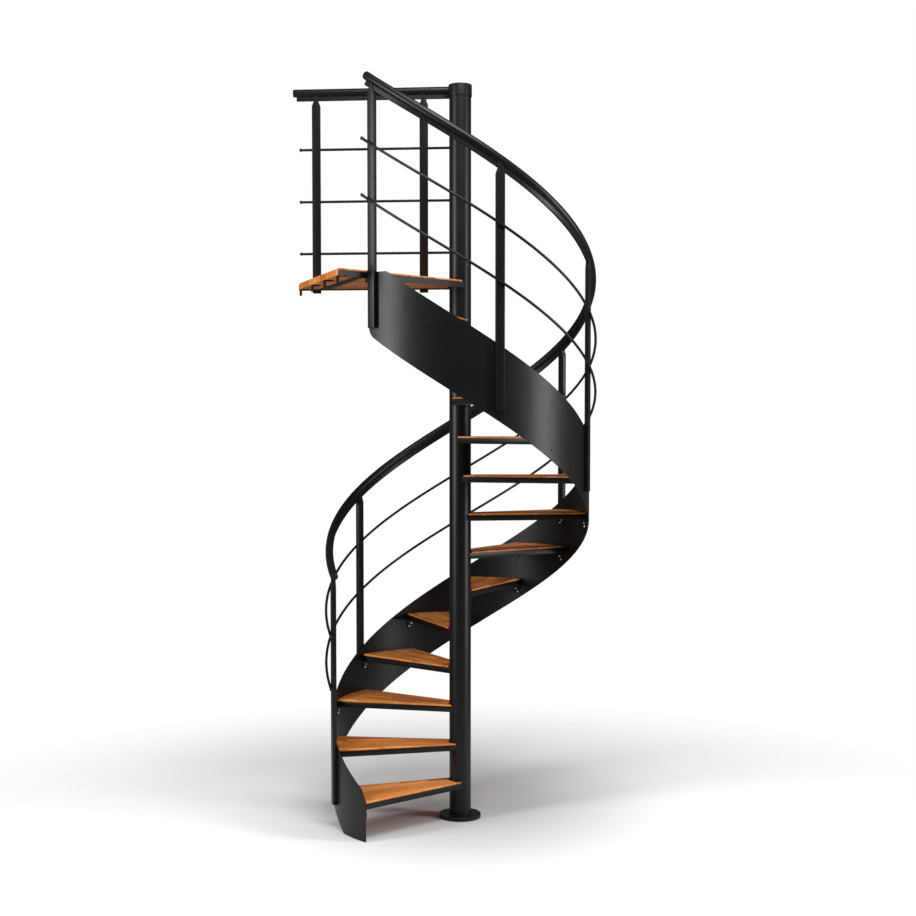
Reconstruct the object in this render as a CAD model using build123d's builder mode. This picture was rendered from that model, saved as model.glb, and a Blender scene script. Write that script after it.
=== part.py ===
from build123d import *
from math import asin, cos, degrees, radians, sin, sqrt, tan
import os

# A left-hand spiral staircase: it climbs clockwise, seen from above, round a steel column.
# The origin is on the column's axis at floor level. Angles are measured from +X towards +Y.

# Climb
rise = 209.3
riser_count = 14
step_angle = 27.26
first_nosing_bearing = 221.2

# Column
column_radius = 59.0
column_wall = 4.0
base_radius = 113.5
base_thickness = 21.0
base_edge_chamfer = 1.5
column_joint_above_landing = 14.0
column_top_above_rail = 13.0
cap_height = 63.0
cap_wall = 4.0
cap_edge_chamfer = 3.0

# Treads
edge_offset = 54.0
tread_half_wedge = 10.5
board_end_clearance = 3.0
frame_reach_past_stringer = 20.0
board_thickness = 40.0
lip_thickness = 9.0
lip_overhang = 1.0
bar_thickness = 10.0
column_gap = 6.0
lug_height = 36.0
lug_width = 34.0
lug_thickness = 5.0
lug_clearance = 0.3

# Landing
landing_bearing = 199.8
landing_half_wedge = 24.6
landing_edge_distance = 790.0
cross_bar_from_edge = 130.0
cross_bar_width = 40.0
cross_bar_thickness = 6.0
wall_lug_count = 4
wall_lug_width = 40.0
wall_lug_leg = 36.0
wall_lug_flange = 43.0
wall_lug_thickness = 5.0
wall_lug_hole_radius = 5.5
wall_lug_inset = 22.0

# Stringer
stringer_radius = 700.0
stringer_thickness = 5.0
stringer_above_nosing = 42.0
stringer_below_nosing = 340.0
stringer_start_height = 212.0
stringer_start_corner = 34.0
stringer_end_round = 68.0
stringer_end_clearance = 0.5
joint_past_nosing = 0.9
joint_gap = 0.4

# Railing
post_width = 42.0
post_depth = 16.5
post_below_nosing = 290.0
tongue_width = 24.0
shoulder_height = 28.0
fork_clearance = 0.5
rail_radius = 21.0
rail_sides = 16
rail_above_nosing = 948.0
rail_bar_width = 12.0
rail_bar_height = 22.5
rail_past_first_post = 32.0
rail_past_last_post = 40.0
rail_bar_setback = 20.0
rod_radius = 6.0
rod_sides = 8
rod_bead_radius = 8.5
rod_bead_taper = 30.0
rod_bead_half_length = 7.5
rod_standoff = 8.5
rod_standoff_radius = 8.0
rod_clearance = 0.3
stair_rod_heights = (349.0, 631.0)
rod_past_first_post = 24.0
rod_past_last_post = 48.0

# Landing railing
landing_post_distances = (206.0, 806.0)
landing_post_below = 54.0
landing_rail_height = 1033.0
landing_rail_length = 922.0
landing_rod_heights = (166.0, 449.0, 732.0)
landing_rod_length = 892.0
landing_rail_start = 20.0
landing_rod_start = 20.0
cope_clearance = 0.3

landing_height = rise * riser_count
tread_count = riser_count - 1
turn_per_mm = step_angle / rise
column_joint_height = landing_height + column_joint_above_landing
rail_height = landing_height + landing_rail_height
column_top_height = rail_height + column_top_above_rail
nosing_end_lead = degrees(asin(edge_offset / stringer_radius))
start_angle = first_nosing_bearing + nosing_end_lead
bar_offset = edge_offset - lip_overhang
shoulder_offset = bar_offset - bar_thickness
bar_height = board_thickness - lip_thickness
board_inner_radius = column_radius + column_gap
tread_radius = stringer_radius - stringer_thickness - board_end_clearance
tread_reach = stringer_radius + frame_reach_past_stringer
post_radius = stringer_radius + post_depth / 2
rod_path_radius = stringer_radius + post_depth + rod_standoff + rod_clearance + rod_radius
pitch = 360 / turn_per_mm
rail_slope = rise / (radians(step_angle) * post_radius)
stair_post_numbers = range(2, riser_count + 1, 2)


def nosing_angle(number):
    """Angle of a nosing's outer end on the stringer; the first tread is number 1."""
    return start_angle - (number - 1) * step_angle


def pitch_height(angle):
    """Height of the line that joins the nosings, at an angle round the column."""
    return rise * (1 + (start_angle - angle) / step_angle)


def turned(angle, height=0.0):
    """A level plane on the column's axis, with its x axis at the given angle."""
    return Plane(origin=(0, 0, height), x_dir=(cos(radians(angle)), sin(radians(angle)), 0), z_dir=(0, 0, 1))


def facing(angle, distance, height=0.0):
    """An upright plane that faces away from the column, its x axis level and its y axis up."""
    a = radians(angle)
    return Plane(
        origin=(distance * cos(a), distance * sin(a), height),
        x_dir=(-sin(a), cos(a), 0),
        z_dir=(cos(a), sin(a), 0),
    )


def across(angle, radius, height):
    """A plane square to a helix that climbs clockwise: x axis outwards, y axis upwards."""
    a = radians(angle)
    climb = rise / (radians(step_angle) * radius)
    return Plane(
        origin=(radius * cos(a), radius * sin(a), height),
        x_dir=(cos(a), sin(a), 0),
        z_dir=(sin(a), -cos(a), climb),
    )


def climbing(first, last, radius, height):
    """A helix that climbs clockwise from a first angle and height to a last angle."""
    helix = Helix(pitch=pitch, height=(first - last) / turn_per_mm, radius=radius, lefthand=True)
    return helix.rotate(Axis.Z, first).translate((0, 0, height))


def wedge_outline(half_wedge, offset, reach):
    """Four corners between two lines that pass the axis at an offset and open outwards."""
    h = radians(half_wedge)
    foot = (-offset * sin(h), offset * cos(h))
    far_y = offset / cos(h) + reach * tan(h)
    return [foot, (reach, far_y), (reach, -far_y), (foot[0], -foot[1])]


def save(piece, name):
    """Label a finished piece and write its file."""
    piece.part.label = name
    export_step(piece.part, f"parts/{name}.step")


def step_solid(half_wedge, reach, round_end, top, name):
    """Board of a tread or the landing: full outline at the lip, stepped in above the bars."""
    layers = ((edge_offset, lip_thickness), (shoulder_offset, board_thickness))
    with BuildPart() as board:
        for offset, depth in layers:
            with BuildSketch(top):
                with BuildLine():
                    Polyline(*wedge_outline(half_wedge, offset, reach), close=True)
                make_face()
                if round_end:
                    Circle(tread_radius, mode=Mode.INTERSECT)
                Circle(board_inner_radius, mode=Mode.SUBTRACT)
            extrude(amount=-depth)
    save(board, name)


os.makedirs("parts", exist_ok=True)

# Round floor flange
with BuildPart() as base_flange:
    with BuildSketch():
        Circle(base_radius)
    extrude(amount=base_thickness)
    chamfer(base_flange.edges().group_by(Axis.Z)[-1], base_edge_chamfer)
save(base_flange, "base_flange")

# Column: a long tube up to the landing, a shorter newel above it and a cap
column_lengths = {
    "column_lower": (base_thickness, column_joint_height),
    "column_upper": (column_joint_height, column_top_height - cap_wall),
}
for name, (bottom, top) in column_lengths.items():
    with BuildPart() as column:
        with BuildSketch(Plane.XY.offset(bottom)):
            Circle(column_radius)
            Circle(column_radius - column_wall, mode=Mode.SUBTRACT)
        extrude(amount=top - bottom)
    save(column, name)

with BuildPart() as column_cap:
    with BuildSketch(Plane.XY.offset(column_top_height - cap_height)):
        Circle(column_radius + cap_wall)
    extrude(amount=cap_height)
    with BuildSketch(Plane.XY.offset(column_top_height - cap_height)):
        Circle(column_radius)
    extrude(amount=cap_height - cap_wall, mode=Mode.SUBTRACT)
    chamfer(column_cap.edges().group_by(Axis.Z)[-1], cap_edge_chamfer)
save(column_cap, "column_cap")

# Tread boards, let down between the steel edge bars
for number in range(1, tread_count + 1):
    bearing = first_nosing_bearing - tread_half_wedge - (number - 1) * step_angle
    board_top = turned(bearing, number * rise)
    step_solid(tread_half_wedge, tread_reach, True, board_top, f"tread_board_{number:02d}")

# Tread frames: an edge bar under each long side, a saddle against the column, and a lug
# under the outer end of each bar that is bolted to the stringer
bar_end_radius = stringer_radius - stringer_thickness - lug_clearance
for number in range(1, tread_count + 1):
    bearing = first_nosing_bearing - tread_half_wedge - (number - 1) * step_angle
    bars_top = turned(bearing, number * rise - lip_thickness)
    bars_bottom = turned(bearing, number * rise - board_thickness)
    with BuildPart() as frame:
        with BuildSketch(bars_top):
            with BuildLine():
                Polyline(*wedge_outline(tread_half_wedge, bar_offset, tread_reach), close=True)
            make_face()
            with BuildLine():
                Polyline(*wedge_outline(tread_half_wedge, shoulder_offset, tread_reach + 1), close=True)
            make_face(mode=Mode.SUBTRACT)
            Circle(bar_end_radius, mode=Mode.INTERSECT)
            Circle(column_radius, mode=Mode.SUBTRACT)
        extrude(amount=-bar_height)
        with BuildSketch(bars_top):
            with BuildLine():
                Polyline(*wedge_outline(tread_half_wedge, bar_offset, tread_reach), close=True)
            make_face()
            Circle(board_inner_radius, mode=Mode.INTERSECT)
            Circle(column_radius, mode=Mode.SUBTRACT)
        extrude(amount=-bar_height)
        with BuildSketch(bars_bottom):
            with BuildLine():
                Polyline(*wedge_outline(tread_half_wedge, bar_offset, tread_reach), close=True)
            make_face()
            with BuildLine():
                lug_offset = bar_offset - lug_width
                Polyline(*wedge_outline(tread_half_wedge, lug_offset, tread_reach + 1), close=True)
            make_face(mode=Mode.SUBTRACT)
            Circle(bar_end_radius, mode=Mode.INTERSECT)
            Circle(bar_end_radius - lug_thickness, mode=Mode.SUBTRACT)
        extrude(amount=-lug_height)
    save(frame, f"tread_frame_{number:02d}")

# Landing board and its steel frame
landing_plane = turned(landing_bearing, landing_height)
step_solid(landing_half_wedge, landing_edge_distance, False, landing_plane, "landing_board")

with BuildPart() as landing_frame:
    with BuildSketch(turned(landing_bearing, landing_height - lip_thickness)):
        with BuildLine():
            Polyline(*wedge_outline(landing_half_wedge, bar_offset, landing_edge_distance), close=True)
        make_face()
        with BuildLine():
            Polyline(*wedge_outline(landing_half_wedge, shoulder_offset, landing_edge_distance + 1), close=True)
        make_face(mode=Mode.SUBTRACT)
        Circle(column_radius, mode=Mode.SUBTRACT)
    extrude(amount=-bar_height)
    with BuildSketch(turned(landing_bearing, landing_height - lip_thickness)):
        with BuildLine():
            Polyline(*wedge_outline(landing_half_wedge, bar_offset, landing_edge_distance), close=True)
        make_face()
        Circle(board_inner_radius, mode=Mode.INTERSECT)
        Circle(column_radius, mode=Mode.SUBTRACT)
    extrude(amount=-bar_height)
    cross_bar_far = landing_edge_distance - cross_bar_from_edge
    with BuildSketch(turned(landing_bearing, landing_height - board_thickness)):
        with BuildLine():
            Polyline(*wedge_outline(landing_half_wedge, bar_offset, landing_edge_distance), close=True)
        make_face()
        with Locations((cross_bar_far - cross_bar_width / 2, 0)):
            Rectangle(cross_bar_width, 2 * landing_edge_distance, mode=Mode.INTERSECT)
    extrude(amount=-cross_bar_thickness)
save(landing_frame, "landing_frame")

# Angle lugs under the landing's outer edge, for the upper floor
landing_half_edge = shoulder_offset / cos(radians(landing_half_wedge))
landing_half_edge += landing_edge_distance * tan(radians(landing_half_wedge))
wall_lug_span = 2 * (landing_half_edge - wall_lug_inset)
with BuildPart() as landing_wall_lugs:
    lug_spacing = wall_lug_span / (wall_lug_count - 1)
    underside = landing_height - board_thickness
    with BuildSketch(turned(landing_bearing, underside)):
        with Locations((landing_edge_distance - wall_lug_flange / 2, 0)):
            with GridLocations(1, lug_spacing, 1, wall_lug_count):
                Rectangle(wall_lug_flange, wall_lug_width)
    extrude(amount=-wall_lug_thickness)
    with BuildSketch(turned(landing_bearing, underside)):
        with Locations((landing_edge_distance - wall_lug_thickness / 2, 0)):
            with GridLocations(1, lug_spacing, 1, wall_lug_count):
                Rectangle(wall_lug_thickness, wall_lug_width)
    extrude(amount=-wall_lug_leg)
    with BuildSketch(facing(landing_bearing, landing_edge_distance, underside)):
        with Locations((0, -(wall_lug_leg + wall_lug_thickness) / 2)):
            with GridLocations(lug_spacing, 1, wall_lug_count, 1):
                Circle(wall_lug_hole_radius)
    extrude(amount=-wall_lug_thickness, mode=Mode.SUBTRACT)
save(landing_wall_lugs, "landing_wall_lugs")

# Stringer: a helical steel band in segments that butt at every second nosing
band_height = stringer_above_nosing + stringer_below_nosing
band_radius = stringer_radius - stringer_thickness / 2
landing_nosing_bearing = landing_bearing + landing_half_wedge
end_turn = degrees(asin((bar_offset + stringer_end_clearance) / band_radius))
end_angle = landing_nosing_bearing + end_turn - 360
joint_angles = [nosing_angle(number) - joint_past_nosing for number in range(3, riser_count, 2)]
segment_ends = [start_angle, *joint_angles, end_angle]
joint_half_gap = degrees(joint_gap / 2 / stringer_radius)
for index in range(len(segment_ends) - 1):
    is_first = index == 0
    is_last = index == len(segment_ends) - 2
    first = segment_ends[index] - (0 if is_first else joint_half_gap)
    last = segment_ends[index + 1] + (0 if is_last else joint_half_gap)
    low_z = pitch_height(first) - stringer_below_nosing
    lower_edge = climbing(first, last, band_radius, low_z)
    a = radians(first)
    with BuildPart() as segment:
        end_plane = Plane(
            origin=(band_radius * cos(a), band_radius * sin(a), low_z),
            x_dir=(cos(a), sin(a), 0),
            z_dir=(sin(a), -cos(a), 0),
        )
        with BuildSketch(end_plane):
            Rectangle(stringer_thickness, band_height, align=(Align.CENTER, Align.MIN))
        sweep(path=lower_edge, is_frenet=True)
        if is_first:
            split(bisect_by=Plane.XY, keep=Keep.TOP)
            top_z = pitch_height(start_angle) + stringer_above_nosing
            corner_z = top_z + stringer_start_corner * rail_slope
            with BuildSketch(facing(start_angle, stringer_radius - 3 * stringer_thickness)):
                with BuildLine():
                    Polyline(
                        (1, stringer_start_height),
                        (-stringer_start_corner, corner_z),
                        (1, corner_z),
                        close=True,
                    )
                make_face()
            extrude(amount=4 * stringer_thickness, mode=Mode.SUBTRACT)
        if is_last:
            split(bisect_by=Plane.XY.offset(landing_height - lip_thickness), keep=Keep.BOTTOM)
            corner = Vector(0, pitch_height(end_angle) - stringer_below_nosing)
            up = Vector(0, 1)
            down = Vector(1, -rail_slope).normalized()
            half_corner = radians(up.get_angle(down) / 2)
            tangent_length = stringer_end_round / tan(half_corner)
            round_depth = stringer_end_round / sin(half_corner) - stringer_end_round
            with BuildSketch(facing(end_angle, stringer_radius - 3 * stringer_thickness)):
                with BuildLine():
                    round_start = corner + up * tangent_length
                    round_end = corner + down * tangent_length
                    ThreePointArc(round_start, corner + (up + down).normalized() * round_depth, round_end)
                    Polyline(round_end, (-1, round_end.Y), (-1, round_start.Y), round_start)
                make_face()
            extrude(amount=4 * stringer_thickness, mode=Mode.SUBTRACT)
    save(segment, f"stringer_{index + 1}")


def forked_post(plane, centre, bottom, rail_axis, fall):
    """Flat post whose top narrows to a fork that holds the bar under the handrail."""
    half = post_width / 2
    tongue = tongue_width / 2
    steepness = sqrt(1 + fall**2)
    tip = rail_axis - (rail_radius + fork_clearance) * steepness
    seat = rail_axis - (rail_radius + rail_bar_height + fork_clearance) * steepness
    with BuildSketch(plane) as outline:
        with BuildLine():
            Polyline(
                (centre - half, bottom),
                (centre + half, bottom),
                (centre + half, seat - fall * tongue - shoulder_height),
                (centre + tongue, seat - fall * tongue),
                (centre + tongue, tip - fall * tongue),
                (centre - tongue, tip + fall * tongue),
                (centre - tongue, seat + fall * tongue),
                (centre - half, seat + fall * tongue - shoulder_height),
                close=True,
            )
        make_face()
    extrude(outline.sketch, amount=post_depth)
    slot_width = rail_bar_width + 2 * fork_clearance
    with BuildSketch(plane.offset((post_depth - slot_width) / 2)) as slot:
        with BuildLine():
            Polyline(
                (centre - half, seat + fall * half),
                (centre + half, seat - fall * half),
                (centre + half, rail_axis),
                (centre - half, rail_axis),
                close=True,
            )
        make_face()
    extrude(slot.sketch, amount=slot_width, mode=Mode.SUBTRACT)


# Stair posts: flat tubes outside the stringer at every second nosing, with a round
# standoff for each rod
with BuildPart() as stair_posts:
    for number in stair_post_numbers:
        angle = nosing_angle(number)
        post_height = pitch_height(angle)
        post_plane = facing(angle, stringer_radius)
        bottom = post_height - post_below_nosing
        forked_post(post_plane, 0, bottom, post_height + rail_above_nosing, rail_slope)
        with BuildSketch(post_plane.offset(post_depth)):
            for height in stair_rod_heights:
                with Locations((0, post_height + height)):
                    RegularPolygon(rod_standoff_radius, rod_sides)
        extrude(amount=rod_standoff)
save(stair_posts, "stair_posts")

# Landing posts: the same, outside the landing's back edge
back_bearing = landing_bearing - landing_half_wedge
back_plane = facing(back_bearing - 90, edge_offset)
with BuildPart() as landing_posts:
    for distance in landing_post_distances:
        forked_post(back_plane, distance, landing_height - landing_post_below, rail_height, 0)
        with BuildSketch(back_plane.offset(post_depth)):
            for height in landing_rod_heights:
                with Locations((distance, landing_height + height)):
                    RegularPolygon(rod_standoff_radius, rod_sides)
        extrude(amount=rod_standoff)
save(landing_posts, "landing_posts")


def along_arc(distance, radius):
    """Turn in degrees that a distance takes at a radius."""
    return degrees(distance / radius)


def grip():
    """Outline of the handrail's tube."""
    RegularPolygon(rail_radius, rail_sides)


def grip_on_bar():
    """Outline of the handrail's tube with the bar welded under it."""
    grip()
    with Locations((0, -rail_radius - rail_bar_height)):
        Rectangle(rail_bar_width, rail_radius + rail_bar_height, align=(Align.CENTER, Align.MIN))


# Stair handrail: the tube on its bar, bent to the climb, with plain tube past the bar's ends
first_post_angle = nosing_angle(stair_post_numbers[0])
last_post_angle = nosing_angle(stair_post_numbers[-1])
bar_start = first_post_angle + along_arc(rail_past_first_post - rail_bar_setback, post_radius)
bar_end = last_post_angle - along_arc(rail_past_last_post - rail_bar_setback, post_radius)
bar_start_plane = across(bar_start, post_radius, pitch_height(bar_start) + rail_above_nosing)
bar_end_plane = across(bar_end, post_radius, pitch_height(bar_end) + rail_above_nosing)
bar_path = climbing(bar_start, bar_end, post_radius, bar_start_plane.origin.Z)
with BuildPart() as stair_handrail:
    with BuildSketch(bar_start_plane):
        grip_on_bar()
    sweep(path=bar_path, is_frenet=True)
    for end_plane, direction in ((bar_start_plane, -1), (bar_end_plane, 1)):
        with BuildSketch(end_plane):
            grip()
        extrude(amount=direction * rail_bar_setback)
save(stair_handrail, "stair_handrail")

# Landing handrail: the same section, level, and coped to the column
square_to_back = Plane(
    origin=back_plane.from_local_coords(Vector(landing_rail_start, rail_height, post_depth / 2)),
    x_dir=-back_plane.z_dir,
    z_dir=back_plane.x_dir,
)
with BuildPart() as landing_handrail:
    for section, setback in ((grip_on_bar, rail_bar_setback), (grip, 0.0)):
        with BuildSketch(square_to_back):
            section()
        extrude(amount=landing_rail_length - landing_rail_start - setback)
    with BuildSketch(Plane.XY.offset(rail_height - 2 * rail_radius - rail_bar_height)):
        Circle(column_radius + cap_wall + cope_clearance)
    extrude(amount=4 * rail_radius + rail_bar_height, mode=Mode.SUBTRACT)
save(landing_handrail, "landing_handrail")


def end_bead(plane):
    """Bead on a rod's end: two tapered lengths, back to back."""
    with BuildSketch(plane) as middle:
        RegularPolygon(rod_bead_radius, rod_sides)
    extrude(middle.sketch, amount=rod_bead_half_length, both=True, taper=rod_bead_taper)


# Stair rods with a bead on each end, outside the posts
rod_start = first_post_angle + along_arc(rod_past_first_post, rod_path_radius)
rod_end = last_post_angle - along_arc(rod_past_last_post, rod_path_radius)
with BuildPart() as stair_rods:
    for height in stair_rod_heights:
        rod_start_plane = across(rod_start, rod_path_radius, pitch_height(rod_start) + height)
        rod_path = climbing(rod_start, rod_end, rod_path_radius, rod_start_plane.origin.Z)
        with BuildSketch(rod_start_plane):
            RegularPolygon(rod_radius, rod_sides)
        sweep(path=rod_path, is_frenet=True)
        end_bead(rod_start_plane)
        end_bead(across(rod_end, rod_path_radius, pitch_height(rod_end) + height))
save(stair_rods, "stair_rods")

# Landing rods: straight, with a bead on each end
rod_depth = post_depth + rod_standoff + rod_clearance + rod_radius
with BuildPart() as landing_rods:
    for height in landing_rod_heights:
        rod_ends = [
            Plane(
                origin=back_plane.from_local_coords(Vector(distance, landing_height + height, rod_depth)),
                x_dir=-back_plane.z_dir,
                z_dir=back_plane.x_dir,
            )
            for distance in (landing_rod_start, landing_rod_length)
        ]
        with BuildSketch(rod_ends[0]):
            RegularPolygon(rod_radius, rod_sides)
        extrude(amount=landing_rod_length - landing_rod_start)
        for rod_end_plane in rod_ends:
            end_bead(rod_end_plane)
save(landing_rods, "landing_rods")
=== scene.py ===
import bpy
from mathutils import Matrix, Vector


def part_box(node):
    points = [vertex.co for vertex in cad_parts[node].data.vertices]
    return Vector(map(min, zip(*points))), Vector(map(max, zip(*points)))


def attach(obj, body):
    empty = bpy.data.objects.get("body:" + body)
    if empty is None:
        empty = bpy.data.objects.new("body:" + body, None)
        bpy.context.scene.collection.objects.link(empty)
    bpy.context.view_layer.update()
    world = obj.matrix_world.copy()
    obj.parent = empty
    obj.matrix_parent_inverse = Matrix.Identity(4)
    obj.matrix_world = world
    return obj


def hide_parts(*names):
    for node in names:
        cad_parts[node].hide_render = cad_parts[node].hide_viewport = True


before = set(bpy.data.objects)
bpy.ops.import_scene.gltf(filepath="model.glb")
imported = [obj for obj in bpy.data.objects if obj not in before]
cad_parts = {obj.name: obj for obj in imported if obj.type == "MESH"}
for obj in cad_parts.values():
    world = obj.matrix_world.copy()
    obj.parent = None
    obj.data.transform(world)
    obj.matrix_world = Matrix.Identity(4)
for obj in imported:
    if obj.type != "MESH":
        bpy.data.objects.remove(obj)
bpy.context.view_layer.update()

import math

import bpy
import numpy as np

# Floor flange.
# A turned steel disc that the column stands on, with a small chamfer round its upper edge.
# All the steel has one finish: a satin anthracite powder coat with a faint orange peel.


def link_nodes(tree, *pairs):
    """Join sockets in pairs, each given as (from socket, to socket)."""
    for start, end in pairs:
        tree.links.new(start, end)


def fresh_material(name):
    """An empty material with its node tree and its shader."""
    material = bpy.data.materials.new(name)
    material.use_nodes = True
    return material, material.node_tree, material.node_tree.nodes["Principled BSDF"]


def ranged(tree, value, low, high, at_low, at_high, interpolation="LINEAR"):
    """A value between low and high, carried over to between at_low and at_high."""
    node = tree.nodes.new("ShaderNodeMapRange")
    node.interpolation_type = interpolation
    node.inputs["From Min"].default_value = low
    node.inputs["From Max"].default_value = high
    node.inputs["To Min"].default_value = at_low
    node.inputs["To Max"].default_value = at_high
    tree.links.new(value, node.inputs["Value"])
    return node.outputs["Result"]


def powder_coat(name, coat_colour, sheen_roughness):
    """Satin coat: two noises, one a few centimetres wide for tone and gloss, one of 1.2 mm peel."""
    material, tree, shader = fresh_material(name)
    place = tree.nodes.new("ShaderNodeTexCoord")
    cloud = tree.nodes.new("ShaderNodeTexNoise")
    cloud.inputs["Scale"].default_value = 9.0
    cloud.inputs["Detail"].default_value = 4.0
    peel = tree.nodes.new("ShaderNodeTexNoise")
    peel.inputs["Scale"].default_value = 820.0
    peel.inputs["Detail"].default_value = 2.0
    tone = tree.nodes.new("ShaderNodeMix")
    tone.data_type = "RGBA"
    tone.inputs[6].default_value = (*[c * 0.86 for c in coat_colour], 1)
    tone.inputs[7].default_value = (*[c * 1.14 for c in coat_colour], 1)
    gloss = ranged(tree, cloud.outputs["Fac"], 0, 1, sheen_roughness - 0.03, sheen_roughness + 0.04)
    bump = tree.nodes.new("ShaderNodeBump")
    bump.inputs["Strength"].default_value = 0.02
    bump.inputs["Distance"].default_value = 0.00002
    shader.inputs["Specular IOR Level"].default_value = 0.24
    link_nodes(
        tree,
        (place.outputs["Object"], cloud.inputs["Vector"]),
        (place.outputs["Object"], peel.inputs["Vector"]),
        (cloud.outputs["Fac"], tone.inputs[0]),
        (peel.outputs["Fac"], bump.inputs["Height"]),
        (tone.outputs[2], shader.inputs["Base Color"]),
        (gloss, shader.inputs["Roughness"]),
        (bump.outputs["Normal"], shader.inputs["Normal"]),
    )
    return material


anthracite = powder_coat("anthracite_coat", (0.0045, 0.0041, 0.0043), 0.38)


def skin(grid):
    """Quads over a grid of rings, row by row; each ring closes on itself, and the end rings
    are closed with one flat face each. Where the enclosed volume comes out negative, the rings
    are taken the other way round, so that the faces point outwards."""
    rows, cols = grid.shape[:2]
    index = np.arange(rows * cols).reshape(rows, cols)
    after = np.roll(index, -1, axis=1)
    quads = np.stack([index[:-1], after[:-1], after[1:], index[1:]], axis=-1).reshape(-1, 4)
    corner = (grid - grid.mean(axis=(0, 1))).reshape(-1, 3)[quads]
    first_half = np.cross(corner[:, 1], corner[:, 2])
    second_half = np.cross(corner[:, 2], corner[:, 3])
    if np.sum(corner[:, 0] * (first_half + second_half)) < 0:
        return skin(grid[:, ::-1])
    faces = quads.tolist()
    faces.append(index[0][::-1].tolist())
    faces.append(index[-1].tolist())
    return grid.reshape(-1, 3), faces


def add_piece(name, shells, material, nodes):
    """One mesh object from several (points, faces) shells; edges over 35 degrees stay sharp."""
    points, faces, shift = [], [], 0
    for shell_points, shell_faces in shells:
        points.append(shell_points)
        faces.extend([[i + shift for i in face] for face in shell_faces])
        shift += len(shell_points)
    mesh = bpy.data.meshes.new(name)
    mesh.from_pydata(np.concatenate(points).tolist(), [], faces)
    mesh.validate()
    mesh.shade_smooth()
    mesh.set_sharp_from_angle(angle=math.radians(35))
    mesh.materials.append(material)
    piece = bpy.data.objects.new(name, mesh)
    bpy.context.scene.collection.objects.link(piece)
    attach(piece, "root")
    if nodes:
        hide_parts(*nodes)


def turned_shell(profile, sides=160):
    """Surface of revolution: (radius, height) goes to (radius cos t, radius sin t, height)."""
    t = np.linspace(0, 2 * np.pi, sides, endpoint=False)
    radius, height = np.array(profile).T
    grid = np.stack(
        [
            radius[:, None] * np.cos(t),
            radius[:, None] * np.sin(t),
            np.repeat(height[:, None], sides, axis=1),
        ],
        axis=-1,
    )
    return skin(grid)


column_radius = 0.059
run_under = 0.01
flange_radius = 0.1135
flange_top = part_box("base_flange")[1][2]
flange_chamfer = 0.0015
flange = turned_shell(
    [
        (flange_radius, 0.0),
        (flange_radius, flange_top - flange_chamfer),
        (flange_radius - flange_chamfer, flange_top),
        (column_radius - run_under, flange_top),
    ]
)
add_piece("floor_flange", [flange], anthracite, ["base_flange"])

# Column.
# A long steel tube up to just above the landing, a shorter newel tube on top of it, and a
# turned cap. The tubes' ends have a small chamfer that shows as a fine line at the joint.
joint_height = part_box("column_lower")[1][2]
cap_low, cap_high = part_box("column_cap")[0][2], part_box("column_cap")[1][2]
cap_radius = 0.063
cap_rounding = 0.003
cap_skirt_easing, cap_lap = 0.0006, 0.001
end_chamfer = 0.0012
lower_tube = turned_shell(
    [
        (column_radius, flange_top),
        (column_radius, joint_height - end_chamfer),
        (column_radius - end_chamfer, joint_height),
    ]
)
newel_tube = turned_shell(
    [
        (column_radius - end_chamfer, joint_height),
        (column_radius, joint_height + end_chamfer),
        (column_radius, cap_high - run_under),
    ]
)
corner = np.linspace(0, np.pi / 2, 7)
cap_shell = turned_shell(
    [
        (column_radius - cap_lap, cap_low),
        (cap_radius - cap_skirt_easing, cap_low),
        (cap_radius, cap_low + cap_skirt_easing),
        *zip(
            cap_radius - cap_rounding + cap_rounding * np.cos(corner),
            cap_high - cap_rounding + cap_rounding * np.sin(corner),
        ),
    ]
)
add_piece("column_tube", [lower_tube], anthracite, ["column_lower"])
add_piece("newel_tube", [newel_tube], anthracite, ["column_upper"])
add_piece("newel_cap", [cap_shell], anthracite, ["column_cap"])

# Steel frames.
# Welded flat bars: an edge bar under each long side of a step, a saddle at the column and
# bolt lugs at the stringer. The landing also has a flat bar across, let in between its edge
# bars, and angle lugs under its free edge. The treads' cut edges are slightly broken.


def eased_copy(node, material, easing, below=0.0, lift=0.0):
    """The node's own solid with its vertices merged and its edges given a small bevel. The
    vertices lower than one height are first moved up or down."""
    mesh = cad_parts[node].data.copy()
    mesh.name = f"{node}_eased"
    points = np.empty(len(mesh.vertices) * 3)
    mesh.vertices.foreach_get("co", points)
    points[2::3] += lift * (points[2::3] < below)
    mesh.vertices.foreach_set("co", points)
    mesh.materials.clear()
    mesh.materials.append(material)
    piece = bpy.data.objects.new(f"{node}_eased", mesh)
    bpy.context.scene.collection.objects.link(piece)
    weld = piece.modifiers.new("weld", "WELD")
    weld.merge_threshold = 0.00005
    flatten = piece.modifiers.new("flatten", "DECIMATE")
    flatten.decimate_type = "DISSOLVE"
    flatten.angle_limit = math.radians(0.6)
    bevel = piece.modifiers.new("easing", "BEVEL")
    bevel.width = easing
    bevel.segments = 2
    bevel.limit_method = "ANGLE"
    bevel.angle_limit = math.radians(40)
    bevel.harden_normals = False
    bevel.use_clamp_overlap = True
    depsgraph = bpy.context.evaluated_depsgraph_get()
    solid = bpy.data.meshes.new_from_object(piece.evaluated_get(depsgraph), depsgraph=depsgraph)
    piece.modifiers.clear()
    piece.data = solid
    bpy.data.meshes.remove(mesh)
    solid.shade_smooth()
    solid.set_sharp_from_angle(angle=math.radians(35))
    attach(piece, "root")
    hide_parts(node)


tread_count = 13
rise = 0.2093
board_thickness, lip_thickness = 0.040, 0.009
lug_height, lug_drop = 0.036, 0.010
steel_easing = 0.0008
for n in range(1, tread_count + 1):
    lug_middle = n * rise - board_thickness - lug_height / 2
    eased_copy(f"tread_frame_{n:02d}", anthracite, steel_easing, below=lug_middle, lift=-lug_drop)

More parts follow.
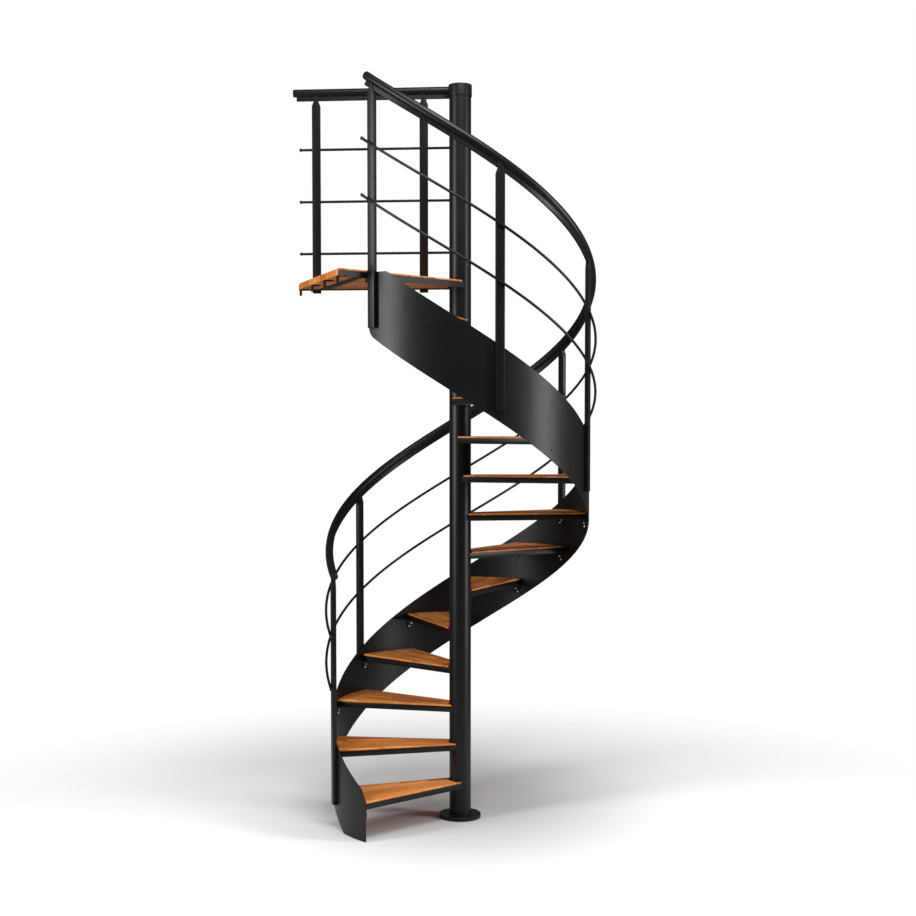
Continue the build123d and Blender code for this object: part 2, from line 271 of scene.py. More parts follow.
riser_count = 14
landing_height = rise * riser_count
landing_bearing = 199.8
landing_half_wedge = 24.6
half_wedge = math.radians(landing_half_wedge)
landing_reach = 0.790
bar_offset, shoulder_offset = 0.053, 0.043
bar_top, bar_bottom = landing_height - lip_thickness, landing_height - board_thickness
board_rise = 0.006
eased_copy("landing_wall_lugs", anthracite, steel_easing, below=landing_height, lift=board_rise)


def landing_prism(outline, low, high):
    """Upright prism over an outline given as (toward the free edge, across it) in the
    landing's own directions, anticlockwise from above."""
    a = math.radians(landing_bearing)
    toward = np.array([math.cos(a), math.sin(a), 0.0])
    across = np.array([-math.sin(a), math.cos(a), 0.0])
    outline = np.array(outline)
    ring = outline[:, :1] * toward + outline[:, 1:] * across
    return skin(np.array([ring + [0.0, 0.0, low], ring + [0.0, 0.0, high]]))


def edge_point(side, offset, along):
    """Point so far along a side of the wedge and so far outside it, for side 1 or -1."""
    x = along * math.cos(half_wedge) - offset * math.sin(half_wedge)
    return x, side * (along * math.sin(half_wedge) + offset * math.cos(half_wedge))


def sector(near, far, start, end, steps):
    """Outline between two radii and two bearings, both arcs cut in equal steps."""
    t = np.radians(np.linspace(start, end, steps))
    inner = np.stack([near * np.cos(t), near * np.sin(t)], axis=1)
    outer = np.stack([far * np.cos(t), far * np.sin(t)], axis=1)
    return np.concatenate([outer, inner[::-1]])


saddle_near, saddle_far = 0.0585, 0.065
shells = []
for side in (1, -1):
    outline = []
    for offset in (bar_offset, shoulder_offset):
        start = math.sqrt(saddle_near**2 - offset**2)
        finish = (landing_reach + offset * math.sin(half_wedge)) / math.cos(half_wedge)
        ends = (finish, start) if offset == bar_offset else (start, finish)
        outline += [edge_point(side, offset, along) for along in ends]
    shells.append(landing_prism(outline[::side], bar_bottom, bar_top))
saddle_turn = landing_half_wedge + math.degrees(math.asin(shoulder_offset / saddle_far))
saddle = sector(saddle_near, saddle_far, -saddle_turn, saddle_turn, 24)
shells.append(landing_prism(saddle, bar_bottom, bar_top))
cross_bar_width, cross_bar_thickness = 0.040, 0.006
cross_bar_far = landing_reach - 0.100
outline = []
for side, x in (
    (-1, cross_bar_far - cross_bar_width),
    (-1, cross_bar_far),
    (1, cross_bar_far),
    (1, cross_bar_far - cross_bar_width),
):
    reach = x * math.tan(half_wedge) + shoulder_offset / math.cos(half_wedge)
    outline.append((x, side * reach))
shells.append(landing_prism(outline, bar_bottom, bar_bottom + cross_bar_thickness))
band_outer, band_thickness = 0.700, 0.005
lug_clearance, lug_thickness, lug_width = 0.0003, 0.005, 0.034
short_lug_height = 0.018
lug_radius = band_outer - band_thickness - lug_clearance
lug_turns = [
    landing_half_wedge + math.degrees(math.asin(offset / lug_radius))
    for offset in (bar_offset - lug_width, bar_offset)
]
lug = sector(lug_radius - lug_thickness, lug_radius, *lug_turns, 4)
shells.append(landing_prism(lug, bar_bottom - short_lug_height, bar_bottom))
add_piece("landing_bars", shells, anthracite, ["landing_frame"])

# Timber boards.
# Each step is a board glued up from narrow staves with finger joints, let down between the
# steel bars so that a lip of 9 mm covers them: 40 mm thick on the treads and 34 mm on the
# landing. Clear satin lacquer over orange-brown wood.


def stave_timber(name, turn, seed):
    """Staves along the step: the board is turned so that x runs from the column outwards, cut
    into strips across y and lengths along x, and each length has its own tone and grain."""
    stave_width, stave_length = 0.036, 0.31
    finger_pitch, finger_depth = 0.009, 0.004
    strips_start = seed * 0.0137 + 2.0
    lengths_seed = seed * 7.31
    material, tree, shader = fresh_material(name)

    def feed(socket, value):
        """Give a socket a number, or link it to another socket."""
        if isinstance(value, (int, float)):
            socket.default_value = value
        else:
            tree.links.new(value, socket)

    def maths(operation, first, second=None):
        """One Math node with one or two inputs."""
        node = tree.nodes.new("ShaderNodeMath")
        node.operation = operation
        feed(node.inputs[0], first)
        if second is not None:
            feed(node.inputs[1], second)
        return node.outputs[0]

    def vector_of(*parts):
        """Three numbers or sockets as one vector."""
        node = tree.nodes.new("ShaderNodeCombineXYZ")
        for socket, part in zip(node.inputs, parts):
            feed(socket, part)
        return node.outputs["Vector"]

    def chance(dimensions, socket, value):
        """One random value for each input, from 0 to 1."""
        node = tree.nodes.new("ShaderNodeTexWhiteNoise")
        node.noise_dimensions = dimensions
        tree.links.new(value, node.inputs[socket])
        return node.outputs["Value"]

    place = tree.nodes.new("ShaderNodeTexCoord")
    along = tree.nodes.new("ShaderNodeMapping")
    along.vector_type = "TEXTURE"
    along.inputs["Rotation"].default_value = (0, 0, math.radians(turn))
    apart = tree.nodes.new("ShaderNodeSeparateXYZ")
    link_nodes(
        tree,
        (place.outputs["Object"], along.inputs["Vector"]),
        (along.outputs["Vector"], apart.inputs["Vector"]),
    )
    x, y, z = apart.outputs
    strip_place = maths("DIVIDE", maths("ADD", y, strips_start), stave_width)
    strip = maths("FLOOR", strip_place)
    finger = maths("PINGPONG", y, finger_pitch / 2)
    finger = maths("MULTIPLY", finger, 2 * finger_depth / finger_pitch)
    strip_chance = chance("1D", "W", maths("ADD", strip, lengths_seed))
    run = maths("ADD", maths("ADD", x, finger), strip_chance)
    length_place = maths("DIVIDE", run, stave_length)
    stave = vector_of(strip, maths("FLOOR", length_place), seed)
    stave_chance = chance("3D", "Vector", stave)
    stave_shift = maths("MULTIPLY", stave_chance, 9.0)

    def fibres(scales, detail, roughness=0.5, distortion=0.0):
        """Noise drawn out along the staves; the scales are per metre along x, y and z."""
        through = maths("ADD", maths("MULTIPLY", z, scales[2]), stave_shift)
        where = vector_of(maths("MULTIPLY", x, scales[0]), maths("MULTIPLY", y, scales[1]), through)
        node = tree.nodes.new("ShaderNodeTexNoise")
        node.inputs["Scale"].default_value = 1.0
        node.inputs["Detail"].default_value = detail
        node.inputs["Roughness"].default_value = roughness
        node.inputs["Distortion"].default_value = distortion
        tree.links.new(where, node.inputs["Vector"])
        return node.outputs["Fac"]

    grain = fibres((5.0, 95.0, 60.0), detail=6.0, roughness=0.6, distortion=0.35)
    pores = fibres((26.0, 620.0, 400.0), detail=2.0)
    streak = ranged(tree, grain, 0.3, 0.7, 0.72, 1.22)
    fleck = ranged(tree, pores, 0.34, 0.5, 0.74, 1.0)
    glue_line = ranged(tree, maths("PINGPONG", strip_place, 0.5), 0, 0.018, 0.62, 1.0)
    butt_line = ranged(tree, maths("PINGPONG", length_place, 0.5), 0, 0.0016, 0.6, 1.0)
    shade = maths("MULTIPLY", streak, fleck)
    shade = maths("MULTIPLY", shade, maths("MINIMUM", glue_line, butt_line))

    tone = tree.nodes.new("ShaderNodeValToRGB")
    tone.color_ramp.elements[0].color = (0.40, 0.118, 0.022, 1)
    tone.color_ramp.elements[1].color = (0.74, 0.30, 0.09, 1)
    tone.color_ramp.elements.new(0.35).color = (0.56, 0.18, 0.032, 1)
    tone.color_ramp.elements.new(0.7).color = (0.64, 0.235, 0.055, 1)
    wood_colour = tree.nodes.new("ShaderNodeVectorMath")
    wood_colour.operation = "SCALE"
    bump = tree.nodes.new("ShaderNodeBump")
    bump.inputs["Strength"].default_value = 0.25
    bump.inputs["Distance"].default_value = 0.0003
    shader.inputs["Specular IOR Level"].default_value = 0.22
    link_nodes(
        tree,
        (stave_chance, tone.inputs["Fac"]),
        (tone.outputs["Color"], wood_colour.inputs[0]),
        (shade, wood_colour.inputs["Scale"]),
        (wood_colour.outputs["Vector"], shader.inputs["Base Color"]),
        (shade, bump.inputs["Height"]),
        (bump.outputs["Normal"], shader.inputs["Normal"]),
        (ranged(tree, shade, 0.6, 1.2, 0.48, 0.36), shader.inputs["Roughness"]),
    )
    return material


step_angle = 27.26
first_nosing_bearing = 221.2
tread_half_wedge = 10.5
wood_easing = 0.0025
for n in range(1, tread_count + 1):
    bearing = first_nosing_bearing - tread_half_wedge - (n - 1) * step_angle
    timber = stave_timber(f"timber_{n:02d}", bearing, n)
    eased_copy(f"tread_board_{n:02d}", timber, wood_easing)

timber = stave_timber("timber_landing", landing_bearing, tread_count + 1)
eased_copy("landing_board", timber, wood_easing, bar_bottom + 0.001, board_rise)

# Stringer.
# A band of 5 mm steel plate rolled to the climb outside the treads, in seven lengths that
# butt at every second nosing. It is cut square to the floor at the foot and level at the top,
# where its lower corner is rounded.
band_above, band_below = 0.042, 0.340
nosing_offset = 0.054
plate_easing = 0.0007
start_angle = first_nosing_bearing + math.degrees(math.asin(nosing_offset / band_outer))


def pitch_height(angle):
    """Height of the straight line through the nosings at an angle round the column."""
    return rise * (1 + (start_angle - angle) / step_angle)


def nosing_angle(number):
    """Angle of a nosing's outer end; the first tread is number 1."""
    return start_angle - (number - 1) * step_angle


def plate_shell(angles, lower, upper):
    """Rolled plate: at each angle a rectangle with broken corners stands between the lower and
    upper edge, and goes to (radius cos angle, radius sin angle, height)."""
    e = plate_easing
    inner = band_outer - band_thickness
    outer_face = [band_outer - e, band_outer, band_outer, band_outer - e]
    radius = np.array([*outer_face, inner + e, inner, inner, inner + e])
    raised = np.array([0, e, -e, 0, 0, -e, e, 0])
    at_top = np.array([0, 0, 1, 1, 1, 1, 0, 0])
    height = lower[:, None] * (1 - at_top) + upper[:, None] * at_top + raised
    a = np.radians(angles)[:, None]
    grid = np.stack([radius * np.cos(a), radius * np.sin(a), height], axis=-1)
    return skin(grid)


joint_past_nosing = 0.9
joint_half_gap = math.degrees(0.0002 / band_outer)
joint_angles = [nosing_angle(number) - joint_past_nosing for number in range(3, riser_count, 2)]
end_offset = 0.0535
end_turn = math.degrees(math.asin(end_offset / (band_outer - band_thickness / 2)))
end_angle = landing_bearing + landing_half_wedge + end_turn - 360
segment_ends = [start_angle, *joint_angles, end_angle]
start_height, start_corner = 0.212, 0.034
end_round = 0.068
band_top = landing_height - lip_thickness
plate_stations, round_stations = 97, 16
climb_slope = rise / (math.radians(step_angle) * band_outer)
for index, (first, last) in enumerate(zip(segment_ends[:-1], segment_ends[1:])):
    first -= joint_half_gap if index else 0
    last += joint_half_gap if index < len(joint_angles) else 0
    angles = np.linspace(first, last, plate_stations)
    lower = pitch_height(angles) - band_below
    upper = pitch_height(angles) + band_above
    if index == 0:
        foot_angle = start_angle - (band_below / rise - 1) * step_angle
        corner_angle = start_angle - math.degrees(start_corner / band_outer)
        angles = np.sort(np.append(angles, [foot_angle, corner_angle]))[::-1]
        from_start = np.radians(start_angle - angles) * band_outer
        corner_rise = pitch_height(corner_angle) + band_above - start_height
        lower = np.maximum(pitch_height(angles) - band_below, 0)
        upper = pitch_height(angles) + band_above
        upper = np.minimum(upper, start_height + corner_rise * from_start / start_corner)
    if index == len(joint_angles):
        level_angle = start_angle - ((band_top - band_above) / rise - 1) * step_angle
        fall = math.atan(climb_slope)
        turn_off = end_round * (1 - math.sin(fall))
        round_angle = math.degrees(turn_off / band_outer)
        near_end = last + round_angle * np.linspace(0, 1, round_stations) ** 2
        angles = np.sort(np.concatenate([angles, [level_angle], near_end[1:]]))[::-1]
        to_end = np.radians(angles - last) * band_outer
        lower = pitch_height(angles) - band_below
        from_centre = end_round - np.minimum(to_end, turn_off)
        arc_fall = np.sqrt(np.maximum(end_round**2 - from_centre**2, 0))
        arc_start = lower[-1] + end_round * (1 - math.sin(fall)) / math.cos(fall)
        lower = np.where(to_end < turn_off, arc_start - arc_fall, lower)
        upper = np.minimum(pitch_height(angles) + band_above, band_top)
    shell = plate_shell(angles, lower, upper)
    add_piece(f"stringer_plate_{index + 1}", [shell], anthracite, [f"stringer_{index + 1}"])

# Posts.
# Flat steel tubes with rounded corners, bolted outside the stringer at every second nosing and
# outside the landing's back edge. Each narrows to a fork round the bar under the handrail, and
# carries a short round stud for each rod.
post_width, post_depth = 0.045, 0.022
post_set_back = 0.003
post_rounding, post_end_rounding = 0.0024, 0.0015
tongue_width, shoulder_height = 0.024, 0.028
post_below_nosing = 0.290
rail_radius = 0.021
rail_above_nosing = 0.948
rail_bar_height = 0.0225
tongue_into_rail = 0.004
rod_heights = (0.347, 0.629)
rod_radius = 0.007
rod_path_radius = 0.7303
stud_radius = 0.008
straight_up = np.array([0.0, 0.0, 1.0])


def rounded_outline(half_width, half_depth, rounding, steps=5):
    """Rectangle whose corners are quarter circles: each corner's centre plus the rounding times
    (cos t, sin t), corner after corner anticlockwise."""
    t = np.linspace(0, np.pi / 2, steps)
    quarter = np.arange(4)[:, None] * np.pi / 2
    centre_x = (half_width - rounding) * np.array([1, -1, -1, 1])[:, None]
    centre_y = (half_depth - rounding) * np.array([1, 1, -1, -1])[:, None]
    x = centre_x + rounding * np.cos(t + quarter)
    y = centre_y + rounding * np.sin(t + quarter)
    return x.ravel(), y.ravel()


def post_shell(foot, sideways, outward, bottom, rail_axis, fall):
    """Rounded rectangles stacked from the bottom up: full width to the shoulders, then
    narrowing to the tongue, whose end is cut to the rail's fall: height less fall times x."""
    steepness = math.hypot(1, fall)
    half, tongue = post_width / 2, tongue_width / 2
    neck = rail_axis - (rail_radius + rail_bar_height) * steepness + fall * tongue
    shoulder = neck - shoulder_height
    tip = rail_axis - (rail_radius - tongue_into_rail) * steepness
    e = post_end_rounding
    rows = [
        (half - e, e, bottom, 0),
        (half - 0.3 * e, 0.3 * e, bottom + 0.3 * e, 0),
        (half, 0, bottom + e, 0),
        (half, 0, shoulder - e, 0),
        (half - 0.1 * e, 0, shoulder + 0.4 * e, 0),
        (tongue + 0.1 * e, 0, neck - 0.4 * e, 0),
        (tongue, 0, neck + e, 0),
        (tongue, 0, tip, fall),
    ]
    rings = []
    for half_width, inset, height, tilt in rows:
        x, y = rounded_outline(half_width, post_depth / 2 - inset, post_rounding)
        level = height - tilt * x
        ring = foot + x[:, None] * sideways + (y + post_depth / 2)[:, None] * outward
        rings.append(ring + level[:, None] * straight_up)
    return skin(np.array(rings))


def stud_shell(centre, sideways, outward, sides=24):
    """Round stud: circles in the post's plane at its face and at the rod."""
    t = np.linspace(0, 2 * np.pi, sides, endpoint=False)
    ring = stud_radius * (np.cos(t)[:, None] * sideways + np.sin(t)[:, None] * straight_up)
    return skin(np.array([centre + ring, centre + stud_length * outward + ring]))


post_slope = rise / (math.radians(step_angle) * (band_outer + post_depth / 2))
stud_length = rod_path_radius - rod_radius - band_outer - post_depth
shells = []
for number in range(2, riser_count + 1, 2):
    a = math.radians(nosing_angle(number))
    outward = np.array([math.cos(a), math.sin(a), 0.0])
    sideways = np.array([-math.sin(a), math.cos(a), 0.0])
    foot = band_outer * outward + post_set_back * sideways
    nosing = pitch_height(nosing_angle(number))
    bottom = nosing - post_below_nosing
    rail_axis = nosing + rail_above_nosing
    shells.append(post_shell(foot, sideways, outward, bottom, rail_axis, post_slope))
    for above in rod_heights:
        centre = foot + post_depth * outward + (nosing + above) * straight_up
        shells.append(stud_shell(centre, sideways, outward))
add_piece("post_set", shells, anthracite, ["stair_posts"])

back_bearing = math.radians(landing_bearing - landing_half_wedge)
back_along = np.array([math.cos(back_bearing), math.sin(back_bearing), 0])
back_out = np.array([math.sin(back_bearing), -math.cos(back_bearing), 0])
landing_rail_height = landing_height + 1.033
landing_post_distances = (0.204, 0.795)
landing_post_below = 0.054
level_rod_heights = (0.164, 0.447, 0.730)
rod_offset = nosing_offset + post_depth + stud_length + rod_radius
shells = []
for distance in landing_post_distances:
    foot = distance * back_along + nosing_offset * back_out
    bottom = landing_height - landing_post_below
    shells.append(post_shell(foot, back_along, back_out, bottom, landing_rail_height, 0))
    for above in level_rod_heights:
        centre = foot + post_depth * back_out + (landing_height + above) * straight_up
        shells.append(stud_shell(centre, back_along, back_out))
add_piece("landing_post_pair", shells, anthracite, ["landing_posts"])

# Handrails.
# A 42 mm steel tube with a small bar welded under it, bent to the climb outside the stringer,
# and a straight length of the same at the landing. The tube's open ends have low domed plugs.
post_radius = band_outer + post_depth / 2
rail_bar_width, rail_bar_easing, rail_bar_lap = 0.012, 0.0015, 0.004
rail_bar_setback = 0.020
rail_past_first, rail_past_last = 0.032, 0.040
rail_sides, climb_stations = 48, 420
plug_dome = 0.006
dome_rings = 9


def climbing_path(first, last, radius, above, stations):
    """Helix at a height above the nosings: point, outward and upward directions at each angle;
    upward is square to both the climb and the radius."""
    angles = np.radians(first + (last - first) * stations)
    height = pitch_height(np.degrees(angles)) + above
    zero = np.zeros_like(angles)
    point = np.stack([radius * np.cos(angles), radius * np.sin(angles), height], axis=-1)
    outward = np.stack([np.cos(angles), np.sin(angles), zero], axis=-1)
    climb = rise / (math.radians(step_angle) * radius)
    forward = np.stack([np.sin(angles), -np.cos(angles), zero + climb], axis=-1)
    forward /= np.linalg.norm(forward, axis=1, keepdims=True)
    return point, outward, np.cross(forward, outward)


def carried(path, across, up, scale=None):
    """A profile of (across, up) pairs carried along a path, scaled at each station."""
    point, outward, upward = path
    scale = np.ones(len(point)) if scale is None else scale
    ring = outward[:, None] * across[None, :, None] + upward[:, None] * up[None, :, None]
    return point[:, None] + ring * scale[:, None, None]


def climb_length(first, last, radius):
    """Length of a helix between two angles."""
    return math.radians(first - last) * math.hypot(radius, rise / math.radians(step_angle))


def domed_stations(length, steps):
    """Stations from 0 to 1 and the tube's share of its radius, rounded off at both ends."""
    turn = np.linspace(0.12, np.pi / 2, dome_rings)[:-1]
    dome_share = np.concatenate([[0.02], np.sin(turn) ** 0.5])
    dome = np.concatenate([[0], (plug_dome - plug_dome * np.cos(turn)) / length])
    middle = np.linspace(plug_dome / length, 1 - plug_dome / length, steps)
    stations = np.concatenate([dome, middle, 1 - dome[::-1]])
    return stations, np.concatenate([dome_share, np.ones(steps), dome_share[::-1]])


def circle(radius, sides):
    """Points of a circle as across and up arrays, clockwise seen along the path."""
    t = np.linspace(0, 2 * np.pi, sides, endpoint=False)
    return radius * np.sin(t), radius * np.cos(t)


def eased_bar(low, high):
    """Rectangle with broken corners, as across and up arrays in the circle's order."""
    w = rail_bar_width / 2
    e = rail_bar_easing
    across = np.array([-w + e, w - e, w, w, w - e, -w + e, -w, -w])
    up = np.array([high, high, high - e, low + e, low, low, low + e, high - e])
    return across, up


first_post, last_post = nosing_angle(2), nosing_angle(riser_count)
arc = math.degrees(1 / post_radius)
rail_first = first_post + rail_past_first * arc
rail_last = last_post - rail_past_last * arc
rail_length = climb_length(rail_first, rail_last, post_radius)
stations, share = domed_stations(rail_length, climb_stations)
rail_path = climbing_path(rail_first, rail_last, post_radius, rail_above_nosing, stations)
rail_tube = skin(carried(rail_path, *circle(rail_radius, rail_sides), share))
bar_path = climbing_path(
    rail_first - rail_bar_setback * arc,
    rail_last + rail_bar_setback * arc,
    post_radius,
    rail_above_nosing,
    np.linspace(0, 1, climb_stations),
)
bar_profile = eased_bar(-rail_radius - rail_bar_height, -rail_radius + rail_bar_lap)
rail_bar = skin(carried(bar_path, *bar_profile))
add_piece("stair_rail", [rail_tube, rail_bar], anthracite, ["stair_handrail"])


def level_path(first, last, offset, height, stations):
    """Straight level line beside the landing's back edge, from one distance to another."""
    distance = first + (last - first) * stations
    point = distance[:, None] * back_along + offset * back_out + height * straight_up
    outward = np.broadcast_to(back_out, point.shape)
    return point, outward, np.broadcast_to(straight_up, point.shape)


landing_rail_end = 0.922
rail_offset = nosing_offset + post_depth / 2
rail_from_column = 0.020
landing_length = landing_rail_end - rail_from_column
stations, share = domed_stations(landing_length, 40)
stations, share = stations[dome_rings - 1 :], share[dome_rings - 1 :]
share[0] = 1.0
landing_path = level_path(
    rail_from_column, landing_rail_end, rail_offset, landing_rail_height, stations
)
landing_tube = carried(landing_path, *circle(rail_radius, rail_sides), share)
bar_end = landing_rail_end - rail_bar_setback
bar_path = level_path(
    rail_from_column, bar_end, rail_offset, landing_rail_height, np.linspace(0, 1, 2)
)
landing_bar = carried(bar_path, *bar_profile)


def coped(grid, reach):
    """The first ring pushed along the rail until it meets the round newel: to the root of the
    reach squared less the distance out squared."""
    ring = grid[0]
    out = ring @ back_out
    along = np.sqrt(np.maximum(reach**2 - out**2, 0.001**2))
    grid[0] = ring + (along - ring @ back_along)[:, None] * back_along
    return grid


cope_gap = 0.0003
cope_reach = cap_radius + cope_gap
shells = [skin(coped(grid, cope_reach)) for grid in (landing_tube, landing_bar)]
add_piece("landing_rail", shells, anthracite, ["landing_handrail"])

# Rods.
# Round 14 mm bars with turned ball ends, two along the climb and three straight ones at the
# landing. At each post a saddle clip on the stud's end holds the rod.
ball_radius = 0.0092
clip_radius, clip_length = 0.0081, 0.013
clip_inset = 0.0014
rod_past_first, rod_past_last = 0.024, 0.048
rod_sides, clip_sides = 20, 24


def ball_ended(length, steps):
    """Stations and radii of a rod with a ball at each end: near an end the radius follows the
    ball's circle, and elsewhere it is the rod's own."""
    reach = math.sqrt(ball_radius**2 - rod_radius**2)
    t = np.linspace(0.03, np.pi - math.asin(rod_radius / ball_radius), 12)
    head = ball_radius * (1 - np.cos(t))
    head_radius = ball_radius * np.sin(t)
    full = length + 2 * ball_radius
    middle = np.linspace(ball_radius + reach, full - ball_radius - reach, steps)
    s = np.concatenate([head, middle[1:-1], full - head[::-1]])
    r = np.concatenate([head_radius, np.full(steps - 2, rod_radius), head_radius[::-1]])
    return (s - ball_radius) / length, r / rod_radius


rod_first = first_post + math.degrees(rod_past_first / rod_path_radius)
rod_last = last_post - math.degrees(rod_past_last / rod_path_radius)
rod_length = climb_length(rod_first, rod_last, rod_path_radius)
stations, share = ball_ended(rod_length, climb_stations)
clip_turn = math.degrees(clip_length / 2 / rod_path_radius)
clip_path_radius = rod_path_radius - clip_inset
shells = []
for above in rod_heights:
    path = climbing_path(rod_first, rod_last, rod_path_radius, above, stations)
    shells.append(skin(carried(path, *circle(rod_radius, rod_sides), share)))
    for number in range(2, riser_count + 1, 2):
        first, last = nosing_angle(number) + clip_turn, nosing_angle(number) - clip_turn
        clip = climbing_path(first, last, clip_path_radius, above, np.linspace(0, 1, 4))
        shells.append(skin(carried(clip, *circle(clip_radius, clip_sides))))
add_piece("climbing_rods", shells, anthracite, ["stair_rods"])

level_first, level_last = 0.020, 0.884
stations, share = ball_ended(level_last - level_first, 6)
shells = []
for above in level_rod_heights:
    path = level_path(level_first, level_last, rod_offset, landing_height + above, stations)
    shells.append(skin(carried(path, *circle(rod_radius, rod_sides), share)))
    for distance in landing_post_distances:
        clip = level_path(
            distance - clip_length / 2,
            distance + clip_length / 2,
            rod_offset - clip_inset,
            landing_height + above,
            np.linspace(0, 1, 2),
        )
        shells.append(skin(carried(clip, *circle(clip_radius, clip_sides))))
add_piece("level_rods", shells, anthracite, ["landing_rods"])

# Bolts.
# Zinc-plated button-head screws through each tread lug on the inside, and low black heads in
# pairs either side of each stringer joint on the outside.


def zinc(name):
    """Bright plated steel with a faint turned haze."""
    material, tree, shader = fresh_material(name)
    place = tree.nodes.new("ShaderNodeTexCoord")
    haze = tree.nodes.new("ShaderNodeTexNoise")
    haze.inputs["Scale"].default_value = 400.0
    gloss = ranged(tree, haze.outputs["Fac"], 0, 1, 0.22, 0.4)
    shader.inputs["Base Color"].default_value = (0.62, 0.61, 0.6, 1)
    shader.inputs["Metallic"].default_value = 1.0
    link_nodes(
        tree,
        (place.outputs["Object"], haze.inputs["Vector"]),
        (gloss, shader.inputs["Roughness"]),
    )
    return material


def button_head(centre, outward, radius, height, sides=20):
    """Low dome: rings whose radius and height follow a quarter ellipse, closed at both ends."""
    outward = np.array(outward)
    sideways = np.cross(straight_up, outward)
    t = np.linspace(0, 2 * np.pi, sides, endpoint=False)
    turn = np.linspace(0, np.pi / 2 * 0.92, 6)
    ring = np.cos(t)[:, None] * sideways + np.sin(t)[:, None] * straight_up
    rings = ring[None] * (radius * np.cos(turn))[:, None, None]
    rings = rings + outward * (height * np.sin(turn))[:, None, None]
    return skin(rings + np.array(centre))


plated = zinc("zinc_plate")
lug_face = lug_radius - lug_thickness
lug_centre_offset = 0.036
lug_turn = math.degrees(math.asin(lug_centre_offset / lug_face))
head_radius, head_height = 0.0068, 0.0075
half_across, half_up = 0.006, 0.0085
shells = []
for n in range(1, tread_count + 1):
    bearing = first_nosing_bearing - tread_half_wedge - (n - 1) * step_angle
    for side in (1, -1):
        middle = bearing + side * (tread_half_wedge + lug_turn)
        for step in (1, -1):
            a = math.radians(middle - side * step * math.degrees(half_across / lug_face))
            height = n * rise - board_thickness - lug_height / 2 - lug_drop + step * half_up
            centre = (lug_face * math.cos(a), lug_face * math.sin(a), height)
            inward = (-math.cos(a), -math.sin(a), 0)
            shells.append(button_head(centre, inward, head_radius, head_height))
add_piece("lug_screws", shells, plated, [])

joint_head_radius, joint_head_height = 0.0045, 0.0016
joint_across, joint_up = 0.009, 0.0065
joint_heights = (-0.052, -0.277)
shells = []
for joint in joint_angles:
    for above in joint_heights:
        for side in (1, -1):
            a = math.radians(joint + side * math.degrees(joint_across / band_outer))
            height = pitch_height(joint) + above + side * joint_up
            centre = (band_outer * math.cos(a), band_outer * math.sin(a), height)
            outward = (math.cos(a), math.sin(a), 0)
            shells.append(button_head(centre, outward, joint_head_radius, joint_head_height))
add_piece("joint_screws", shells, anthracite, [])

# Floor, light and camera.
# A pale floor with painted shade, darker round the column's foot, that fades into the backdrop,
# soft lamps to the left and right, and the camera level with the middle of the stair.


def pale_floor(name):
    """Matt white with painted shade, darker near the column for the stair's shadow and paler away
    from it; further out it thins out to the white behind it, so that no horizon shows."""
    painted_shade_near, painted_shade_far = 0.1, 1.5
    thinning_near, thinning_far = 1.1, 3.4
    material, tree, shader = fresh_material(name)
    shader.inputs["Roughness"].default_value = 0.9
    shader.inputs["Specular IOR Level"].default_value = 0.1
    place = tree.nodes.new("ShaderNodeTexCoord")
    distance = tree.nodes.new("ShaderNodeVectorMath")
    distance.operation = "LENGTH"
    reach = distance.outputs["Value"]
    # Painted shade: the floor's colour runs from 0.50 near the column to 0.84 further out, standing
    # in for the stair's shadow round its foot.
    painted_shade_tone = ranged(tree, reach, painted_shade_near, painted_shade_far, 0.50, 0.84, "SMOOTHSTEP")
    thinning = ranged(tree, reach, thinning_near, thinning_far, 0, 1, "SMOOTHSTEP")
    clear = tree.nodes.new("ShaderNodeBsdfTransparent")
    blend = tree.nodes.new("ShaderNodeMixShader")
    link_nodes(
        tree,
        (place.outputs["Object"], distance.inputs[0]),
        (painted_shade_tone, shader.inputs["Base Color"]),
        (thinning, blend.inputs[0]),
        (shader.outputs["BSDF"], blend.inputs[1]),
        (clear.outputs["BSDF"], blend.inputs[2]),
        (blend.outputs["Shader"], tree.nodes["Material Output"].inputs["Surface"]),
    )
    return material


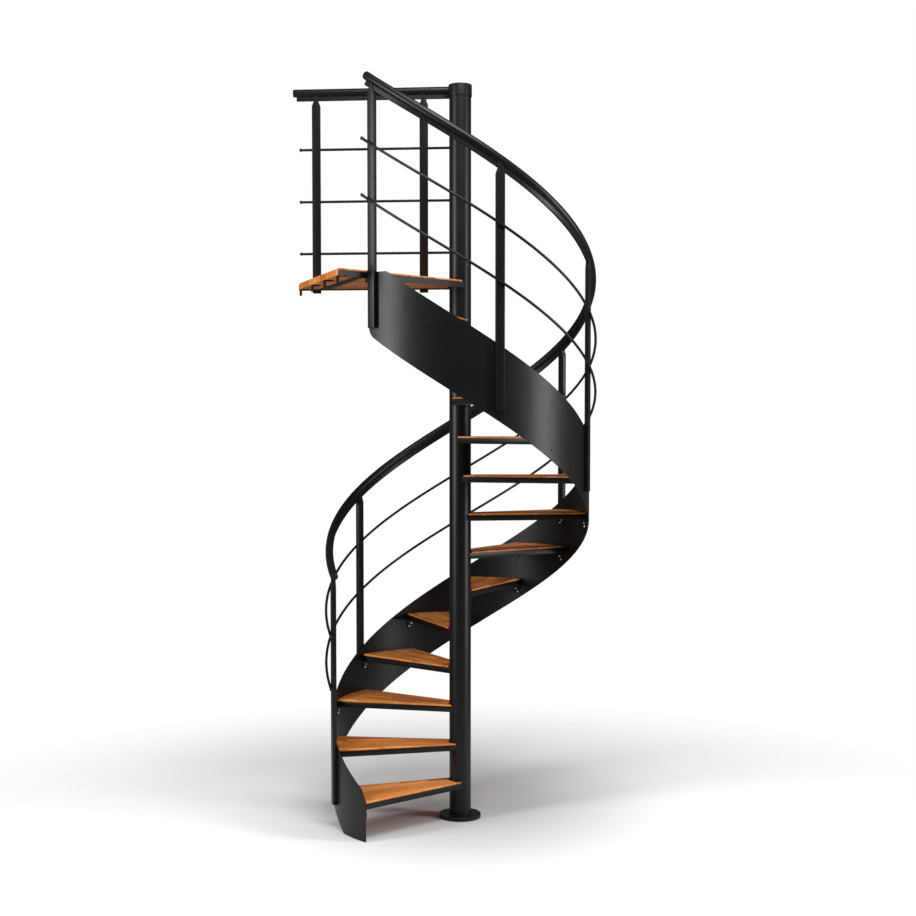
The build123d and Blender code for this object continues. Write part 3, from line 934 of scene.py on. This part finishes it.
floor_half = 30.0
floor_corners = [(x * floor_half, y * floor_half, 0) for x, y in ((-1, -1), (1, -1), (1, 1), (-1, 1))]
floor_mesh = bpy.data.meshes.new("floor")
floor_mesh.from_pydata(floor_corners, [], [(0, 1, 2, 3)])
floor_mesh.materials.append(pale_floor("floor_pale"))
floor = bpy.data.objects.new("floor", floor_mesh)
bpy.context.scene.collection.objects.link(floor)

world = bpy.data.worlds.new("studio")
bpy.context.scene.world = world
world.use_nodes = True
sky = world.node_tree
background = sky.nodes["Background"]
background.inputs["Color"].default_value = (1, 1, 1, 1)
rays = sky.nodes.new("ShaderNodeLightPath")
strength = sky.nodes.new("ShaderNodeMix")
strength.data_type = "FLOAT"
strength.inputs[2].default_value = 0.11
strength.inputs[3].default_value = 1.0
link_nodes(
    sky,
    (rays.outputs["Is Camera Ray"], strength.inputs[0]),
    (strength.outputs[0], background.inputs["Strength"]),
)


def soft_lamp(name, place, target, size, power):
    """Rectangular area lamp aimed at a point."""
    lamp = bpy.data.lights.new(name, "AREA")
    lamp.shape = "RECTANGLE"
    lamp.size, lamp.size_y = size
    lamp.energy = power
    holder = bpy.data.objects.new(name, lamp)
    bpy.context.scene.collection.objects.link(holder)
    aim = np.array(target) - np.array(place)
    yaw = math.atan2(aim[1], aim[0]) - math.pi / 2
    drop = math.atan2(aim[2], math.hypot(aim[0], aim[1]))
    holder.location = place
    holder.rotation_euler = (math.pi / 2 + drop, 0, yaw)


soft_lamp("left_softbox", place=(-4.4, -2.4, 2.95), target=(0, 0, 2.2), size=(1.3, 3.6), power=240)
soft_lamp("right_softbox", place=(4.4, -1.4, 2.4), target=(0, 0, 1.9), size=(1.1, 4.2), power=200)
soft_lamp("top_softbox", place=(0.6, -2.6, 6.4), target=(0, 0, 1.0), size=(3.0, 3.0), power=330)

camera = bpy.data.cameras.new("camera")
camera.lens = 56.66
camera.sensor_width = 36.0
camera.shift_x = 0.0001
camera.shift_y = 0.0475
camera.clip_end = 100.0
viewer = bpy.data.objects.new("camera", camera)
viewer.location = (-0.0123, -7.8445, 2.1402)
viewer.rotation_euler = (math.radians(90 - 2.938), 0, 0)
bpy.context.scene.collection.objects.link(viewer)
bpy.context.scene.camera = viewer

bpy.context.scene.view_settings.view_transform = "Standard"
